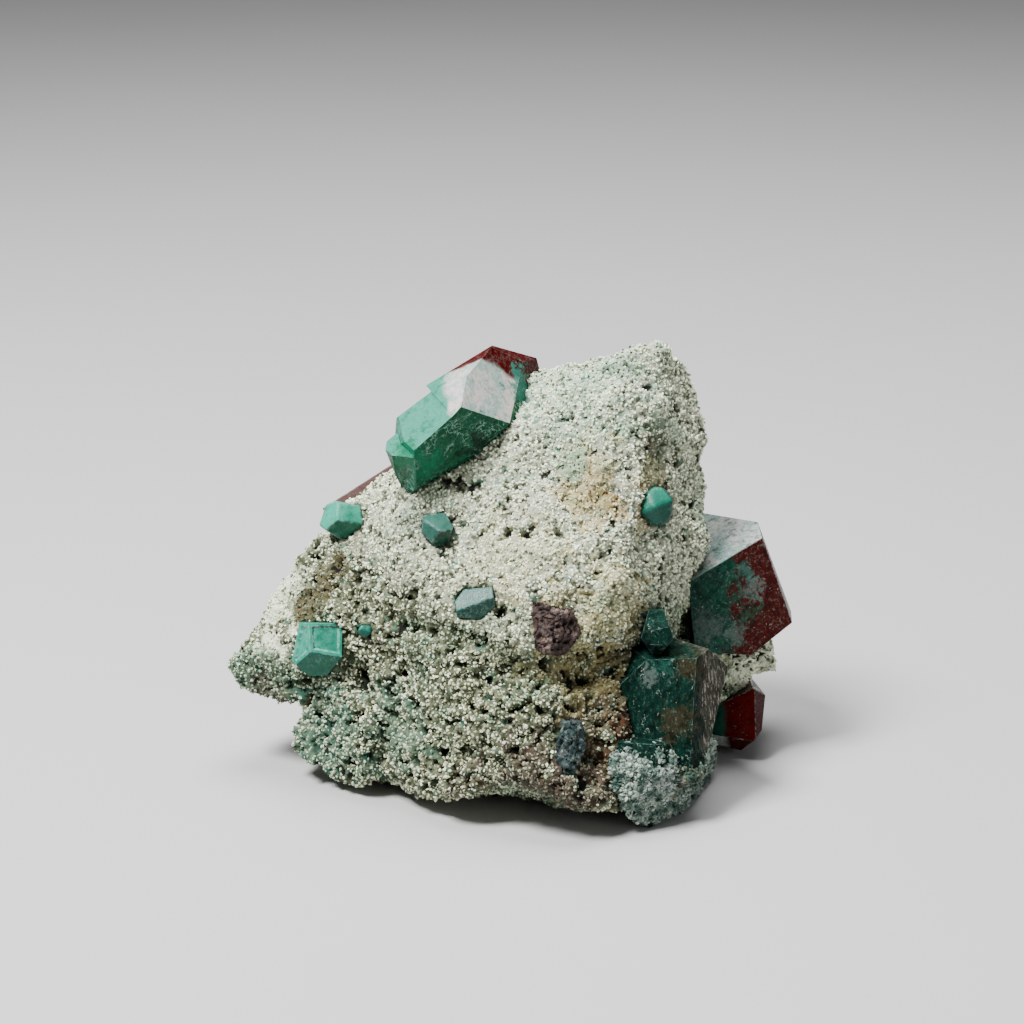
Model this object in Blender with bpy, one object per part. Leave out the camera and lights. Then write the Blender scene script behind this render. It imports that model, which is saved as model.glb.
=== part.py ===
"""Apophyllite: green crystals with rusty red ends on a lump of pale, granular, pitted rock.

The rock is one solid, a few broken blocks fused together, with lumps and pits on its faces. Each crystal is
a solid of its own, a stubby prism bounded by flat faces, and stands in a socket of the rock that is a hair
wider than the crystal. +Z is up, -Y is the side with the most crystals, and the origin is the middle of the
flat break that the rock rests on.
"""
import math

import bmesh
import bpy
from mathutils import Matrix, Vector, noise

MM = 0.001
SOCKET_GAP = 0.3

# The rock's broken blocks, each the hull of its corners, in millimetres
BLOCKS = {
    "peak": (
        (16.0, 2.0, 53.6), (19.8, 4.0, 54.6), (23.6, 7.0, 52.2), (25.2, 10.0, 48.0), (17.0, 14.0, 50.0),
        (6.0, 8.0, 49.6), (8.0, 16.0, 44.0), (25.6, 7.0, 43.6), (25.2, 3.0, 34.3), (24.6, 1.0, 27.0),
        (23.6, -3.0, 20.0), (17.5, -6.0, 39.7), (13.5, -14.0, 27.0), (13.0, -16.5, 22.5),
        (3.5, -19.5, 21.0), (-12.3, -3.0, 37.0), (-17.6, 5.0, 35.6), (-22.3, 4.0, 28.8),
        (-9.6, -12.0, 26.4), (-18.0, -4.0, 22.0), (-14.0, 17.0, 30.0), (12.0, 21.0, 38.0),
        (22.0, 18.0, 30.0), (20.0, 20.0, 16.0), (-16.0, 19.0, 16.0),
    ),
    "body": (
        (-18.0, -6.0, 22.0), (-24.0, 2.0, 22.0), (-5.0, -17.0, 21.0), (3.0, -19.4, 21.0),
        (8.0, -17.0, 20.5), (16.0, -12.0, 19.0), (23.0, -3.0, 20.0), (-15.5, -10.0, 3.6),
        (-9.5, -15.0, 4.4), (-5.5, -19.4, 4.6), (0.2, -22.0, 6.2), (6.5, -24.8, 7.0), (9.0, -24.8, 6.2),
        (14.0, -22.4, 3.6), (23.0, -9.0, 4.0), (23.0, 14.0, 24.0), (21.0, 21.0, 14.0),
        (-10.0, 23.0, 20.0), (-20.0, 17.0, 12.0), (-15.0, -5.0, -1.0), (16.0, -11.0, -1.0),
        (23.0, 4.0, -1.0), (18.0, 15.0, -1.0), (-14.0, 14.0, -1.0),
    ),
    "horn": (
        (-35.0, 0.5, 13.4), (-34.0, 0.5, 9.8), (-27.0, -3.0, 8.6), (-23.0, 6.0, 28.8), (-30.2, 2.5, 18.8),
        (-24.5, -4.0, 16.0), (-18.0, -7.0, 22.0), (-16.0, -8.0, 10.0), (-27.0, 8.0, 10.0),
        (-18.0, 16.0, 12.0), (-18.0, 14.0, 26.0),
    ),
    "heel": (
        (-27.0, -5.0, 6.6), (-27.4, -5.5, 4.6), (-25.6, -7.4, 2.6), (-20.0, -10.2, 1.5),
        (-16.4, -11.2, 2.4), (-15.0, -12.0, 12.0), (-22.0, -6.0, 13.0), (-20.0, 4.0, 10.0),
        (-18.0, 4.0, 1.0), (-24.0, 0.0, 2.0),
    ),
    "shelf": (
        (23.0, 4.0, 20.0), (32.0, 5.5, 14.2), (34.9, 7.5, 12.9), (35.6, 8.2, 9.4), (31.5, 6.0, 7.0),
        (22.0, -4.0, 6.0), (24.0, 16.0, 22.0), (30.0, 15.0, 16.0), (28.0, 15.0, 6.0), (20.0, 12.0, 2.0),
    ),
}
FUSE_CELL = 0.8
SMOOTH_TURNS = 4
ROCK_TRIANGLES = 8000

# Lumps all over the rock, and the pores that riddle its lower left side
LUMP_SIZE, LUMP_HEIGHT = 11.0, 1.7
KNOB_SIZE, KNOB_HEIGHT = 3.8, 0.85
PORE_SPACING, PORE_RADIUS, PORE_DEPTH = 4.6, 1.6, 1.8
PORES_FROM, PORES_TO = 33.0, 22.0

# Larger hollows: middle, radius and depth, in millimetres
HOLLOWS = (
    ((-18.6, -7.5, 14.8), 1.7, 2.2), ((-19.8, -5.5, 17.2), 1.0, 1.3), ((-14.5, -8.8, 18.2), 1.1, 1.3),
    ((-11.5, -10.5, 19.6), 1.1, 1.2), ((0.5, -13.0, 32.0), 1.0, 1.1), ((3.2, -12.6, 32.0), 1.0, 1.1),
    ((8.0, -12.5, 31.0), 1.0, 1.0), ((19.5, -4.5, 40.5), 2.6, 1.3), ((18.0, -7.5, 33.0), 2.2, 1.0),
    ((0.0, -18.5, 22.0), 1.2, 1.2), ((13.0, -19.0, 16.0), 2.2, 1.2), ((12.0, -21.0, 10.0), 2.0, 1.1),
)
# The shadowed nick under the upper mass of the front
LEDGE_FROM, LEDGE_TO = (-3.0, -20.0, 19.2), (15.5, -15.8, 20.4)
LEDGE_RADIUS, LEDGE_DEPTH = 2.6, 2.9

# Each crystal is one or more bodies, and a body is a middle in millimetres and its flat faces. A face has
# the compass angle it looks to (0 is +X, -90 is the front), its climb above level, both in degrees, and
# its distance from the middle in millimetres.
CRYSTALS = {
    "crown_crystal": (
        ((-1.0, 0.5, 45.0), {
            "top_front": (-132, 47, 7.5), "end_slope": (-38, 30, 2.6), "front": (-61, -17, 2.2),
            "end": (-24, 15, 2.7), "cap": (-17, 49, 6.0), "top_back": (-169, 62, 7.5),
            "front_low": (-35, -40, 1.8), "back_top": (124, 30, 7.2), "back": (90, -6, 9.0),
            "under": (16, -62, 3.4), "inner": (-165, -39, 3.0),
        }),
        ((-9.5, 0.5, 41.5), {
            "top_front": (-132, 47, 5.9), "front": (-61, -17, 5.3), "end": (-149, -12, 4.0),
            "end_top": (-161, 12, 4.3), "top_back": (162, 51, 5.2), "heel": (158, -4, 2.1),
            "front_low": (-42, -46, 4.3), "back": (108, 7, 5.9), "under": (42, -73, 4.9),
            "inner": (15, 39, 5.6),
        }),
        ((-11.6, -1.0, 39.4), {
            "top_front": (-132, 47, 4.9), "end": (-151, -23, 1.7), "end_low": (-123, -33, 1.7),
            "front_low": (-78, -60, 2.5), "heel": (162, -12, 0.7), "top_back": (161, 46, 4.1),
            "back": (108, 7, 4.6), "under": (42, -73, 3.7), "inner": (8, 24, 1.8),
        }),
    ),
    "corner_crystal": (
        ((30.0, 9.0, 21.0), {
            "front": (-72, 11, 7.6), "top": (-149, 66, 7.6), "side": (0, 20, 5.6),
            "low_side": (-22, -49, 8.0), "back_top": (48, 32, 5.3), "under": (-117, -77, 7.8),
            "back": (102, 0, 6.7), "root": (-178, -6, 6.4),
        }),
    ),
    "flank_crystal": (
        ((21.5, -9.0, 12.0), {
            "front": (-99, 18, 7.7), "side": (-40, 9, 6.7), "top": (-129, 81, 8.4),
            "left": (-176, 8, 7.8), "left_low": (-166, -21, 8.2), "rim": (48, 47, 6.0),
            "far_side": (12, -23, 3.5), "shoulder": (-150, 45, 9.4), "back": (90, -18, 9.8),
            "under": (-90, -72, 9.0),
        }),
        ((19.0, -10.5, 22.0), {
            "crown": (-104, 66, 2.6), "front": (-84, 21, 3.7), "left": (174, 17, 1.6),
            "right": (6, 17, 1.6), "low_left": (-167, -35, 2.1), "low_right": (-13, -35, 2.1),
            "back": (90, 0, 4.0), "top": (90, 72, 2.5), "low_front": (-90, -45, 3.2),
            "under": (-90, -72, 3.4),
        }),
    ),
    "red_crystal": (
        ((30.4, 5.0, 5.5), {
            "front": (-99, 15, 4.2), "right": (-29, 9, 4.1), "top_right": (14, 52, 3.8),
            "top_left": (158, 61, 2.2), "far_right": (8, -12, 2.8), "low_right": (-16, -41, 4.0),
            "low": (-105, -37, 5.2), "bottom": (-153, -77, 4.6), "left": (-173, -4, 3.8),
            "back": (90, -18, 5.4),
        }),
    ),
    "horn_crystal": (
        ((-22.8, -4.1, 17.0), {
            "crest": (-75, 32, 3.0), "left_face": (-133, 22, 2.9), "low_face": (-88, -20, 2.7),
            "left": (176, 11, 2.7), "top": (90, 72, 3.4), "right": (0, 0, 3.3),
            "low_right": (-14, -37, 3.0), "bottom": (-90, -72, 3.2), "low_left": (-162, -43, 3.0),
            "root": (90, -18, 4.4),
        }),
    ),
    "ledge_crystal": (
        ((-20.2, 1.5, 31.3), {
            "crest": (-66, 43, 2.8), "left_face": (-145, 29, 2.0), "low_face": (-87, -28, 1.4),
            "left": (174, 17, 2.3), "top_left": (136, 65, 3.1), "top": (56, 69, 3.1),
            "right": (4, 11, 3.3), "low_right": (-21, -48, 1.8), "low_left": (-155, -52, 1.2),
            "root": (90, -18, 2.2),
        }),
    ),
    "slope_crystal": (
        ((-7.6, -6.8, 33.6), {
            "left_face": (-117, 5, 1.7), "crest": (-57, 62, 1.4), "low_face": (-64, -25, 1.6),
            "left": (177, 8, 1.9), "top": (108, 71, 2.0), "top_right": (10, 29, 1.9),
            "right": (-5, -14, 1.8), "low_right": (-25, -52, 1.9), "low_left": (-163, -42, 1.6),
            "root": (90, -18, 3.5),
        }),
    ),
    "round_crystal": (
        ((19.2, -4.9, 35.9), {
            "left_face": (-121, 30, 2.6), "crest": (-69, 47, 2.3), "right_face": (-60, 7, 2.2),
            "low_face": (-99, -12, 2.5), "left": (178, 6, 2.0), "top_left": (158, 49, 2.3),
            "top": (72, 71, 2.5), "top_right": (13, 35, 2.1), "right": (-2, -6, 1.9),
            "low_right": (-17, -42, 2.1), "bottom": (-108, -71, 2.3), "low_left": (-165, -39, 2.1),
            "root": (90, -18, 4.1),
        }),
    ),
    "bead_crystal": (
        ((-16.6, -7.3, 20.7), {
            "crest": (-82, 45, 0.9), "low_face": (-93, -6, 0.9), "left": (172, 23, 0.8),
            "top": (72, 71, 0.7), "right": (4, 11, 0.9), "low_right": (-22, -50, 0.8),
            "low_left": (-158, -50, 0.8), "root": (90, -18, 2.1),
        }),
    ),
    "shard_crystal": (
        ((-2.9, -13.0, 26.6), {
            "crest": (-102, 44, 1.9), "low_face": (-81, -3, 2.2), "top_left": (167, 35, 2.0),
            "top": (108, 71, 1.6), "right": (3, 8, 2.3), "low_right": (-17, -42, 2.0),
            "bottom": (-108, -71, 2.1), "left": (-176, -11, 2.5), "root": (90, -18, 3.3),
        }),
    ),
    "back_crystal": (
        ((-15.5, 10.5, 33.5), {
            "front": (-106, 26, 2.9), "top": (154, 54, 1.6), "left": (-166, 17, 6.5),
            "left_low": (-167, -35, 7.3), "back": (96, -6, 2.7), "right": (6, 18, 3.0),
            "under": (-44, -65, 6.0),
        }),
    ),
    "plum_fragment": (
        ((5.8, -16.2, 24.4), {
            "left_face": (-113, 28, 2.2), "right_face": (-63, 10, 2.4), "left": (176, -6, 1.5),
            "top": (50, 58, 2.2), "right": (0, 0, 1.7), "bottom": (-64, -70, 3.0),
            "low_left": (-168, -40, 2.4), "root": (90, -18, 3.8),
        }),
        ((8.1, -15.8, 24.2), {
            "left_face": (-113, 28, 3.2), "right_face": (-63, 10, 1.9), "right": (8, 20, 1.2),
            "top": (140, 62, 1.9), "left": (180, 0, 1.4), "bottom": (-75, -62, 2.6),
            "low_right": (-13, -35, 1.5), "root": (90, -18, 3.6),
        }),
    ),
    "slate_chip": (
        ((8.5, -21.5, 11.3), {
            "left_face": (-112, 23, 1.8), "right_face": (-66, 11, 1.8), "left": (174, 17, 1.7),
            "top": (90, 72, 3.0), "right": (2, 6, 1.5), "low_right": (-10, -29, 1.7),
            "bottom": (-108, -71, 3.1), "low_left": (-175, -14, 1.7), "root": (90, -18, 3.3),
        }),
    ),
}
# The broken foot under the flank crystal, grown together with it: the corners of its hull
FOOT = (
    (14.2, -19.5, 11.0), (13.3, -21.6, 7.8), (14.7, -22.4, 4.8), (15.8, -21.8, 2.4), (18.2, -20.1, 0.0),
    (18.8, -21.0, 8.0), (21.9, -19.0, 7.4), (21.5, -17.0, 0.6), (22.9, -14.0, 0.0), (24.1, -11.0, 0.0),
    (25.3, -8.0, 0.0), (26.7, -4.0, 1.8), (27.3, -3.0, 3.6), (23.1, -15.5, 9.3), (18.7, -19.3, 10.6),
    (20.0, -6.0, 0.0), (15.0, -12.0, 2.0), (15.0, -10.0, 9.0), (25.0, -3.0, 8.0),
)

# Colour and roughness of each piece
LOOKS = {
    "matrix": ((0.58, 0.57, 0.45), 0.95),
    "crown_crystal": ((0.06, 0.24, 0.17), 0.25),
    "corner_crystal": ((0.16, 0.07, 0.06), 0.35),
    "flank_crystal": ((0.03, 0.14, 0.11), 0.4),
    "red_crystal": ((0.14, 0.02, 0.015), 0.3),
    "horn_crystal": ((0.07, 0.34, 0.24), 0.3),
    "ledge_crystal": ((0.1, 0.38, 0.29), 0.35),
    "slope_crystal": ((0.07, 0.2, 0.16), 0.35),
    "round_crystal": ((0.05, 0.26, 0.19), 0.35),
    "bead_crystal": ((0.02, 0.2, 0.14), 0.35),
    "shard_crystal": ((0.1, 0.3, 0.25), 0.35),
    "back_crystal": ((0.12, 0.05, 0.05), 0.4),
    "plum_fragment": ((0.17, 0.11, 0.11), 0.8),
    "slate_chip": ((0.1, 0.15, 0.16), 0.6),
}


def hull_mesh(bm, corners, grow=0.0):
    """Adds the convex hull of some corners, spread from their middle by grow millimetres, to a bmesh."""
    middle = sum((Vector(corner) for corner in corners), Vector()) / len(corners)
    verts = []
    for corner in corners:
        outward = Vector(corner) - middle
        verts.append(bm.verts.new((Vector(corner) + outward.normalized() * grow) * MM))
    made = bmesh.ops.convex_hull(bm, input=verts)
    loose = [item for item in made["geom_interior"] if isinstance(item, bmesh.types.BMVert)]
    bmesh.ops.delete(bm, geom=loose, context="VERTS")


def new_object(name, mesh, material=None):
    """Links an object of that mesh to the scene."""
    obj = bpy.data.objects.new(name, mesh)
    bpy.context.scene.collection.objects.link(obj)
    if material:
        mesh.materials.append(material)
    return obj


def evaluated_mesh(obj):
    """The object's mesh with its modifiers applied."""
    graph = bpy.context.evaluated_depsgraph_get()
    return bpy.data.meshes.new_from_object(obj.evaluated_get(graph), depsgraph=graph)


def fade(value, start, end):
    """0 at start, 1 at end, eased between them."""
    share = min(max((value - start) / (end - start), 0.0), 1.0)
    return share * share * (3 - 2 * share)


def dent(distance, radius, depth):
    """Depth of a round dent at some distance from its middle."""
    return depth * (1 - fade(distance, 0.0, radius))


def relief(place):
    """How far the rock's skin stands out at a place, both in millimetres."""
    height = LUMP_HEIGHT * noise.noise(place / LUMP_SIZE)
    height += KNOB_HEIGHT * noise.noise(place / KNOB_SIZE + Vector((7.0, 3.0, 5.0)))
    porous = fade(place.z + 0.35 * place.x, PORES_FROM, PORES_TO) * fade(place.z, 2.0, 5.0)
    cell = noise.voronoi(place / PORE_SPACING)[0][0] * PORE_SPACING
    height -= porous * dent(cell, PORE_RADIUS, PORE_DEPTH)
    for middle, radius, depth in HOLLOWS:
        height -= dent((place - Vector(middle)).length, radius * 1.6, depth)
    start, end = Vector(LEDGE_FROM), Vector(LEDGE_TO)
    along = min(max((place - start).dot(end - start) / (end - start).length_squared, 0.0), 1.0)
    height -= dent((place - start.lerp(end, along)).length, LEDGE_RADIUS * 1.6, LEDGE_DEPTH)
    return height


def fused_rock():
    """The blocks made one skin by a voxel remesh, with their sharp corners worn."""
    bm = bmesh.new()
    for corners in BLOCKS.values():
        hull_mesh(bm, corners)
    bmesh.ops.recalc_face_normals(bm, faces=bm.faces)
    mesh = bpy.data.meshes.new("blocks")
    bm.to_mesh(mesh)
    bm.free()
    blocks = new_object("blocks", mesh)
    fuse = blocks.modifiers.new("fuse", "REMESH")
    fuse.mode = "VOXEL"
    fuse.voxel_size = FUSE_CELL * MM
    wear = blocks.modifiers.new("wear", "SMOOTH")
    wear.factor = 0.5
    wear.iterations = SMOOTH_TURNS
    fused = evaluated_mesh(blocks)
    bpy.data.objects.remove(blocks)
    return fused


def rough_rock():
    """The fused rock with lumps, pores and hollows, thinned to few triangles and broken off flat below."""
    bm = bmesh.new()
    mesh = fused_rock()
    bm.from_mesh(mesh)
    bm.normal_update()
    for vert in bm.verts:
        vert.co += vert.normal * relief(vert.co / MM) * MM
    bmesh.ops.triangulate(bm, faces=bm.faces)
    faces = len(bm.faces)
    bm.to_mesh(mesh)
    bm.free()
    whole = new_object("whole", mesh)
    thin = whole.modifiers.new("thin", "DECIMATE")
    thin.ratio = ROCK_TRIANGLES / faces
    thinned = evaluated_mesh(whole)
    bpy.data.objects.remove(whole)
    bm = bmesh.new()
    bm.from_mesh(thinned)
    cut = bmesh.ops.bisect_plane(
        bm, geom=bm.verts[:] + bm.edges[:] + bm.faces[:], plane_co=(0, 0, 0), plane_no=(0, 0, -1),
        clear_outer=True,
    )
    rim = [item for item in cut["geom_cut"] if isinstance(item, bmesh.types.BMEdge)]
    bmesh.ops.holes_fill(bm, edges=rim)
    bm.to_mesh(thinned)
    bm.free()
    return thinned


def face_direction(angle, climb):
    """Unit vector at a compass angle and a climb, both in degrees."""
    turn, rise = math.radians(angle), math.radians(climb)
    return Vector((math.cos(rise) * math.cos(turn), math.cos(rise) * math.sin(turn), math.sin(rise)))


def faceted_body(middle, faces, grow):
    """Mesh of the solid inside some flat faces, each moved out by grow millimetres."""
    bm = bmesh.new()
    bmesh.ops.create_cube(bm, size=80 * MM, matrix=Matrix.Translation(Vector(middle) * MM))
    for angle, climb, reach in faces.values():
        outward = face_direction(angle, climb)
        cut = bmesh.ops.bisect_plane(
            bm, geom=bm.verts[:] + bm.edges[:] + bm.faces[:], dist=1e-7,
            plane_co=(Vector(middle) + outward * (reach + grow)) * MM, plane_no=outward, clear_outer=True,
        )
        rim = [item for item in cut["geom_cut"] if isinstance(item, bmesh.types.BMEdge)]
        bmesh.ops.edgeloop_fill(bm, edges=rim)
    bmesh.ops.remove_doubles(bm, verts=bm.verts, dist=0.02 * MM)
    bmesh.ops.recalc_face_normals(bm, faces=bm.faces)
    mesh = bpy.data.meshes.new("body")
    bm.to_mesh(mesh)
    bm.free()
    return mesh


def foot_body(grow):
    """Mesh of the broken foot of the flank crystal."""
    bm = bmesh.new()
    hull_mesh(bm, FOOT, grow)
    bmesh.ops.recalc_face_normals(bm, faces=bm.faces)
    mesh = bpy.data.meshes.new("foot")
    bm.to_mesh(mesh)
    bm.free()
    return mesh


def joined_solid(meshes):
    """One closed mesh of some overlapping closed meshes."""
    first = new_object("first", meshes[0])
    others = [new_object("other", mesh) for mesh in meshes[1:]]
    for other in others:
        join = first.modifiers.new("join", "BOOLEAN")
        join.operation = "UNION"
        join.solver = "EXACT"
        join.object = other
    joined = evaluated_mesh(first)
    for obj in [first, *others]:
        bpy.data.objects.remove(obj)
    return joined


def crystal_mesh(name, grow=0.0):
    """The mesh of a crystal, or of its socket when it is grown by the gap."""
    meshes = [faceted_body(middle, faces, grow) for middle, faces in CRYSTALS[name]]
    if name == "flank_crystal":
        meshes.append(foot_body(grow))
    return joined_solid(meshes)


def finish(name):
    """The material of a piece."""
    colour, roughness = LOOKS[name]
    material = bpy.data.materials.new(name)
    material.use_nodes = True
    surface = material.node_tree.nodes["Principled BSDF"]
    surface.inputs["Base Color"].default_value = (*colour, 1)
    surface.inputs["Roughness"].default_value = roughness
    surface.inputs["Metallic"].default_value = 0.0
    return material


def connected(start):
    """All vertices joined to one by edges."""
    found = {start}
    waiting = [start]
    while waiting:
        for edge in waiting.pop().link_edges:
            for vert in edge.verts:
                if vert not in found:
                    found.add(vert)
                    waiting.append(vert)
    return found


def keep_largest(mesh):
    """Drops the crumbs that the sockets leave loose, so that the rock is one solid."""
    bm = bmesh.new()
    bm.from_mesh(mesh)
    shells = []
    unseen = set(bm.verts)
    for vert in bm.verts:
        if vert in unseen:
            shells.append(connected(vert))
            unseen -= shells[-1]
    shells.sort(key=len)
    for shell in shells[:-1]:
        bmesh.ops.delete(bm, geom=list(shell), context="VERTS")
    bm.to_mesh(mesh)
    bm.free()


def socketed(mesh):
    """The rock's mesh with a socket for every crystal."""
    rock = new_object("rock", mesh)
    cutters = []
    for name in CRYSTALS:
        cutters.append(new_object("socket_" + name, crystal_mesh(name, SOCKET_GAP)))
        socket = rock.modifiers.new(name, "BOOLEAN")
        socket.operation = "DIFFERENCE"
        socket.solver = "EXACT"
        socket.object = cutters[-1]
    carved = evaluated_mesh(rock)
    for obj in [rock, *cutters]:
        bpy.data.objects.remove(obj)
    keep_largest(carved)
    return carved


def main():
    for obj in list(bpy.data.objects):
        bpy.data.objects.remove(obj)
    new_object("matrix", socketed(rough_rock()), finish("matrix"))
    for name in CRYSTALS:
        new_object(name, crystal_mesh(name), finish(name))


main()
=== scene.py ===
"""Apophyllite specimen: green crystals with rusty red ends on a pitted lump of sugary, pale, stained rock.

The rock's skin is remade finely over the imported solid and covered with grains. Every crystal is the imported
solid with its edges worn or its form rounded, and its colours lie along it in zones. Sizes are in
millimetres, but for the studio's, which are in metres.
"""
import logging
import math
from dataclasses import dataclass
from enum import Enum

import bmesh
import bpy
from bmesh.types import BMEdge, BMesh, BMFace
from bpy.types import Material, Mesh, Node, NodeSocket, NodeTree, Object
from mathutils import Euler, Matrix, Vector, noise
from mathutils.bvhtree import BVHTree


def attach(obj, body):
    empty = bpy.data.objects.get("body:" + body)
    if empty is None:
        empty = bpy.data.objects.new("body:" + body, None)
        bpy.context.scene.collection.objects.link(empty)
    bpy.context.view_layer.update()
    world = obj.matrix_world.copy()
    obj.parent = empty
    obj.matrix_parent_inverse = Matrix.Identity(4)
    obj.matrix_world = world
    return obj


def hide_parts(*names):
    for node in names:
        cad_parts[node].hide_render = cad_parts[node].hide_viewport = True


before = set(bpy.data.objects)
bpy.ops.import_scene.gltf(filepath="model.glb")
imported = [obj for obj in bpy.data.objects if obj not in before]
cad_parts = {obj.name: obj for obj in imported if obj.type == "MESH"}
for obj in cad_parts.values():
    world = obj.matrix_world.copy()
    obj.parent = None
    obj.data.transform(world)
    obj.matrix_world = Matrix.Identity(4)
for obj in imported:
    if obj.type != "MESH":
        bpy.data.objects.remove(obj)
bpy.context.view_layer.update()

LOG = logging.getLogger("apophyllite")
MM = 0.001
BODY = "root"
GRAINS_START = (0.55, 0.9)

Colour = tuple[float, float, float]
Place = tuple[float, float, float]


class Pigment(Enum):
    """Colours of the specimen, and near-black colours of painted shade, as linear red, green and blue."""

    CHALK = (0.92, 0.97, 0.73)
    CREAM = (0.72, 0.78, 0.58)
    SAND = (0.45, 0.47, 0.28)
    KHAKI = (0.085, 0.076, 0.036)
    GREY = (0.10, 0.13, 0.115)
    EMERALD = (0.002, 0.05, 0.028)
    UMBER = (0.03, 0.022, 0.01)
    OLIVE = (0.035, 0.044, 0.02)
    OCHRE = (0.46, 0.30, 0.09)
    STRAW = (0.42, 0.36, 0.15)
    RUST = (0.062, 0.028, 0.012)
    BROWN = (0.075, 0.062, 0.026)
    TEAL = (0.015, 0.15, 0.115)
    MINT = (0.20, 0.45, 0.32)
    PEARL = (0.42, 0.47, 0.44)
    JADE = (0.0, 0.13, 0.06)
    # painted shade for the crown's underside
    UNDERSIDE_SHADE = (0.0, 0.010, 0.006)
    MAUVE = (0.06, 0.038, 0.029)
    # painted shade in the rock's pores and in the foot crust's pores
    PORE_SHADE = (0.006, 0.006, 0.005)


class Zone(Enum):
    """Attributes that the meshes carry for their finishes and grains."""

    # how well grains cover the skin; where it is low, in pores, pits and creases, the skin is painted near
    # black as shade
    COVER = "cover"
    CROWD = "crowd"
    TONE = "tone"
    EDGE = "edge"
    # how much a crystal face looks up; the crystal finishes paint light with it, paler on faces that look up
    SKY = "sky"


class Value:
    """A shader socket that can stand in a Python expression."""

    def __init__(self, graph: "Graph", socket: NodeSocket) -> None:
        """Wraps a socket of a graph."""
        self.graph = graph
        self.socket = socket

    def math(self, operation: str, *others: "Value | float", clamp: bool = False) -> "Value":
        """A Math node with this value as its first input."""
        inputs = dict(enumerate((self, *others)))
        return self.graph.value("ShaderNodeMath", {"operation": operation, "use_clamp": clamp}, inputs)

    def __add__(self, other: "Value | float") -> "Value":
        """Sum."""
        return self.math("ADD", other)

    def __radd__(self, other: float) -> "Value":
        """Sum with a number on the left."""
        return self.math("ADD", other)

    def __sub__(self, other: "Value | float") -> "Value":
        """Difference."""
        return self.math("SUBTRACT", other)

    def __rsub__(self, other: float) -> "Value":
        """A number less this value."""
        return self.math("MULTIPLY", -1.0).math("ADD", other)

    def __mul__(self, other: "Value | float") -> "Value":
        """Product."""
        return self.math("MULTIPLY", other)

    def __truediv__(self, other: "Value | float") -> "Value":
        """Quotient."""
        return self.math("DIVIDE", other)

    def clamped(self) -> "Value":
        """This value held between 0 and 1."""
        return self.math("ADD", 0.0, clamp=True)

    def ramp(self, start: float, end: float) -> "Value":
        """Eases this value from 0 to 1.

        Args:
            start: where the result is 0.
            end: where the result is 1.

        Returns:
            The eased value.
        """
        settings = {"interpolation_type": "SMOOTHSTEP"}
        low, high = min(start, end), max(start, end)
        eased = self.graph.value("ShaderNodeMapRange", settings, {0: self, 1: low, 2: high, 3: 0.0, 4: 1.0})
        return eased if start < end else 1.0 - eased


class Arrow(Value):
    """A vector socket that can stand in a Python expression."""

    def vector(self, operation: str, other: "Arrow | Place") -> "Arrow":
        """A Vector Math node with this vector as its first input."""
        node = self.graph.node("ShaderNodeVectorMath", {"operation": operation}, {0: self, 1: other})
        return Arrow(self.graph, node.outputs[0])

    def __add__(self, other: "Arrow | Place") -> "Arrow":
        """Sum of vectors."""
        return self.vector("ADD", other)

    def __sub__(self, other: "Arrow | Place") -> "Arrow":
        """Difference of vectors."""
        return self.vector("SUBTRACT", other)

    def __mul__(self, other: "Arrow | Place") -> "Arrow":
        """Product of vectors, part by part."""
        return self.vector("MULTIPLY", other)

    def scaled(self, factor: float) -> "Arrow":
        """This vector times one number."""
        return self.vector("MULTIPLY", (factor, factor, factor))

    def length(self) -> Value:
        """Length of the vector."""
        return self.graph.value("ShaderNodeVectorMath", {"operation": "LENGTH"}, {0: self}, "Value")

    def along(self, direction: Place) -> Value:
        """How far the vector reaches along a direction."""
        inputs = {0: self, 1: direction}
        return self.graph.value("ShaderNodeVectorMath", {"operation": "DOT_PRODUCT"}, inputs, "Value")


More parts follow.
